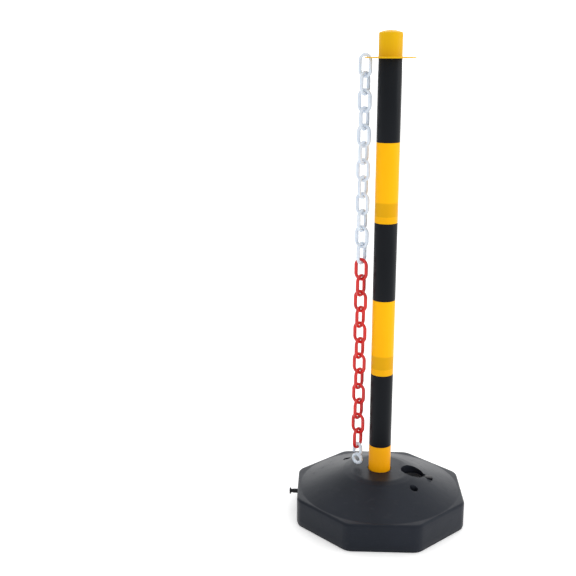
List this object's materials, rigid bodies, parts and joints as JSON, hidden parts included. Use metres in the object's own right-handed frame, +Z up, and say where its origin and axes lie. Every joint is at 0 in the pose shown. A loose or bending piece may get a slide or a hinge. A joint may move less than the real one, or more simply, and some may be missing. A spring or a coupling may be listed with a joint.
{
  "type": "plastic chain stanchion",
  "caption": "Free-standing post of banded push-together sections on a hollow octagonal ballast base, with a flanged cap and a hanging plastic chain that ends in a hook.",
  "frame": {"origin": "on the floor, under the middle of the post", "axes": "+Z up along the post; the base's flat sides face +X, -X, +Y and -Y; the chain hangs at the -X side, the front is -Y"},
  "size_m": [0.3154, 0.3, 0.8645],
  "materials": {
    "black_base": "satin blow-moulded polyethylene",
    "black_post": "semi-gloss moulded plastic",
    "yellow_post": "semi-gloss, slightly translucent moulded plastic",
    "yellow_cap": "semi-gloss moulded plastic",
    "white_chain": "semi-gloss moulded plastic",
    "red_chain": "semi-gloss moulded plastic",
    "black_rubber": "soft moulded plastic"
  },
  "bodies": {
    "base": {"base_shell": "black_base"},
    "fill_stopper": {"fill_stopper": "black_rubber"},
    "drain_plug": {"drain_plug": "black_rubber"},
    "section_1_yellow": {"section_1_yellow": "yellow_post"},
    "section_2_black": {"section_2_black": "black_post"},
    "section_3_yellow": {"section_3_yellow": "yellow_post"},
    "section_4_black": {"section_4_black": "black_post"},
    "section_5_yellow": {"section_5_yellow": "yellow_post"},
    "section_6_black": {"section_6_black": "black_post"},
    "cap_head": {"cap_head": "yellow_cap"},
    "link_01": {"link_01": "white_chain"},
    "link_02": {"link_02": "white_chain"},
    "link_03": {"link_03": "white_chain"},
    "link_04": {"link_04": "white_chain"},
    "link_05": {"link_05": "white_chain"},
    "link_06": {"link_06": "white_chain"},
    "link_07": {"link_07": "white_chain"},
    "link_08": {"link_08": "white_chain"},
    "link_09": {"link_09": "white_chain"},
    "link_10": {"link_10": "white_chain"},
    "link_11": {"link_11": "white_chain"},
    "link_12": {"link_12": "white_chain"},
    "link_13": {"link_13": "red_chain"},
    "link_14": {"link_14": "red_chain"},
    "link_15": {"link_15": "red_chain"},
    "link_16": {"link_16": "red_chain"},
    "link_17": {"link_17": "red_chain"},
    "link_18": {"link_18": "red_chain"},
    "link_19": {"link_19": "red_chain"},
    "link_20": {"link_20": "red_chain"},
    "link_21": {"link_21": "red_chain"},
    "link_22": {"link_22": "red_chain"},
    "link_23": {"link_23": "red_chain"},
    "link_24": {"link_24": "red_chain"},
    "chain_hook": {"chain_hook": "white_chain"}
  },
  "joints": [
    {"name": "fill_stopper_pull", "type": "slide", "parent": "base", "child": "fill_stopper", "axis": [0, 0, 1], "range_m": [0, 0.03]},
    {"name": "drain_plug_pull", "type": "slide", "parent": "base", "child": "drain_plug", "axis": [-1, 0, 0], "range_m": [0, 0.03]},
    {"name": "section_1_yellow_lift", "type": "slide", "parent": "base", "child": "section_1_yellow", "axis": [0, 0, 1], "range_m": [0, 0.085]},
    {"name": "section_2_black_lift", "type": "slide", "parent": "section_1_yellow", "child": "section_2_black", "axis": [0, 0, 1], "range_m": [0, 0.04]},
    {"name": "section_3_yellow_lift", "type": "slide", "parent": "section_2_black", "child": "section_3_yellow", "axis": [0, 0, 1], "range_m": [0, 0.04]},
    {"name": "section_4_black_lift", "type": "slide", "parent": "section_3_yellow", "child": "section_4_black", "axis": [0, 0, 1], "range_m": [0, 0.04]},
    {"name": "section_5_yellow_lift", "type": "slide", "parent": "section_4_black", "child": "section_5_yellow", "axis": [0, 0, 1], "range_m": [0, 0.04]},
    {"name": "section_6_black_lift", "type": "slide", "parent": "section_5_yellow", "child": "section_6_black", "axis": [0, 0, 1], "range_m": [0, 0.04]},
    {"name": "cap_turn", "type": "hinge", "parent": "section_6_black", "child": "cap_head", "pos_m": [0, 0, 0.8195], "axis": [0, 0, 1], "continuous": true},
    {"name": "link_01_swing", "type": "hinge", "parent": "cap_head", "child": "link_01", "pos_m": [-0.04079, 0.00511, 0.8151], "axis": [0.5736, 0.8192, 0], "range_deg": [0, 45]},
    {"name": "link_02_swing", "type": "hinge", "parent": "link_01", "child": "link_02", "pos_m": [-0.04079, 0.00511, 0.7902], "axis": [0.8192, -0.5736, 0], "range_deg": [-45, 45]},
    {"name": "link_03_swing", "type": "hinge", "parent": "link_02", "child": "link_03", "pos_m": [-0.04079, 0.00511, 0.7613], "axis": [-0.5736, -0.8192, 0], "range_deg": [-45, 0]},
    {"name": "link_04_swing", "type": "hinge", "parent": "link_03", "child": "link_04", "pos_m": [-0.04079, 0.00511, 0.7324], "axis": [-0.8192, 0.5736, 0], "range_deg": [-45, 45]},
    {"name": "link_05_swing", "type": "hinge", "parent": "link_04", "child": "link_05", "pos_m": [-0.04079, 0.00511, 0.7035], "axis": [0.5736, 0.8192, 0], "range_deg": [0, 45]},
    {"name": "link_06_swing", "type": "hinge", "parent": "link_05", "child": "link_06", "pos_m": [-0.04079, 0.00511, 0.6746], "axis": [0.8192, -0.5736, 0], "range_deg": [-45, 45]},
    {"name": "link_07_swing", "type": "hinge", "parent": "link_06", "child": "link_07", "pos_m": [-0.04079, 0.00511, 0.6457], "axis": [-0.5736, -0.8192, 0], "range_deg": [-45, 0]},
    {"name": "link_08_swing", "type": "hinge", "parent": "link_07", "child": "link_08", "pos_m": [-0.04079, 0.00511, 0.6168], "axis": [-0.8192, 0.5736, 0], "range_deg": [-45, 45]},
    {"name": "link_09_swing", "type": "hinge", "parent": "link_08", "child": "link_09", "pos_m": [-0.04079, 0.00511, 0.5879], "axis": [0.5736, 0.8192, 0], "range_deg": [0, 45]},
    {"name": "link_10_swing", "type": "hinge", "parent": "link_09", "child": "link_10", "pos_m": [-0.04079, 0.00511, 0.559], "axis": [0.8192, -0.5736, 0], "range_deg": [-45, 45]},
    {"name": "link_11_swing", "type": "hinge", "parent": "link_10", "child": "link_11", "pos_m": [-0.04079, 0.00511, 0.5301], "axis": [-0.5736, -0.8192, 0], "range_deg": [-45, 0]},
    {"name": "link_12_swing", "type": "hinge", "parent": "link_11", "child": "link_12", "pos_m": [-0.04079, 0.00511, 0.5012], "axis": [-0.8192, 0.5736, 0], "range_deg": [-45, 45]},
    {"name": "link_13_swing", "type": "hinge", "parent": "link_12", "child": "link_13", "pos_m": [-0.04079, 0.00511, 0.4723], "axis": [0.5736, 0.8192, 0], "range_deg": [0, 45]},
    {"name": "link_14_swing", "type": "hinge", "parent": "link_13", "child": "link_14", "pos_m": [-0.04079, 0.00511, 0.4434], "axis": [0.8192, -0.5736, 0], "range_deg": [-45, 45]},
    {"name": "link_15_swing", "type": "hinge", "parent": "link_14", "child": "link_15", "pos_m": [-0.04079, 0.00511, 0.4145], "axis": [-0.5736, -0.8192, 0], "range_deg": [-45, 0]},
    {"name": "link_16_swing", "type": "hinge", "parent": "link_15", "child": "link_16", "pos_m": [-0.04079, 0.00511, 0.3856], "axis": [-0.8192, 0.5736, 0], "range_deg": [-45, 45]},
    {"name": "link_17_swing", "type": "hinge", "parent": "link_16", "child": "link_17", "pos_m": [-0.04079, 0.00511, 0.3567], "axis": [0.5736, 0.8192, 0], "range_deg": [0, 45]},
    {"name": "link_18_swing", "type": "hinge", "parent": "link_17", "child": "link_18", "pos_m": [-0.04079, 0.00511, 0.3278], "axis": [0.8192, -0.5736, 0], "range_deg": [-45, 45]},
    {"name": "link_19_swing", "type": "hinge", "parent": "link_18", "child": "link_19", "pos_m": [-0.04079, 0.00511, 0.2989], "axis": [-0.5736, -0.8192, 0], "range_deg": [-45, 0]},
    {"name": "link_20_swing", "type": "hinge", "parent": "link_19", "child": "link_20", "pos_m": [-0.04079, 0.00511, 0.27], "axis": [-0.8192, 0.5736, 0], "range_deg": [-45, 45]},
    {"name": "link_21_swing", "type": "hinge", "parent": "link_20", "child": "link_21", "pos_m": [-0.04079, 0.00511, 0.2411], "axis": [0.5736, 0.8192, 0], "range_deg": [0, 45]},
    {"name": "link_22_swing", "type": "hinge", "parent": "link_21", "child": "link_22", "pos_m": [-0.04079, 0.00511, 0.2122], "axis": [0.8192, -0.5736, 0], "range_deg": [-45, 45]},
    {"name": "link_23_swing", "type": "hinge", "parent": "link_22", "child": "link_23", "pos_m": [-0.04079, 0.00511, 0.1833], "axis": [-0.5736, -0.8192, 0], "range_deg": [-45, 0]},
    {"name": "link_24_swing", "type": "hinge", "parent": "link_23", "child": "link_24", "pos_m": [-0.04079, 0.00511, 0.1544], "axis": [-0.8192, 0.5736, 0], "range_deg": [-45, 45]},
    {"name": "hook_swing", "type": "hinge", "parent": "link_24", "child": "chain_hook", "pos_m": [-0.04079, 0.00511, 0.1255], "axis": [0.5736, 0.8192, 0], "range_deg": [0, 45]}
  ]
}
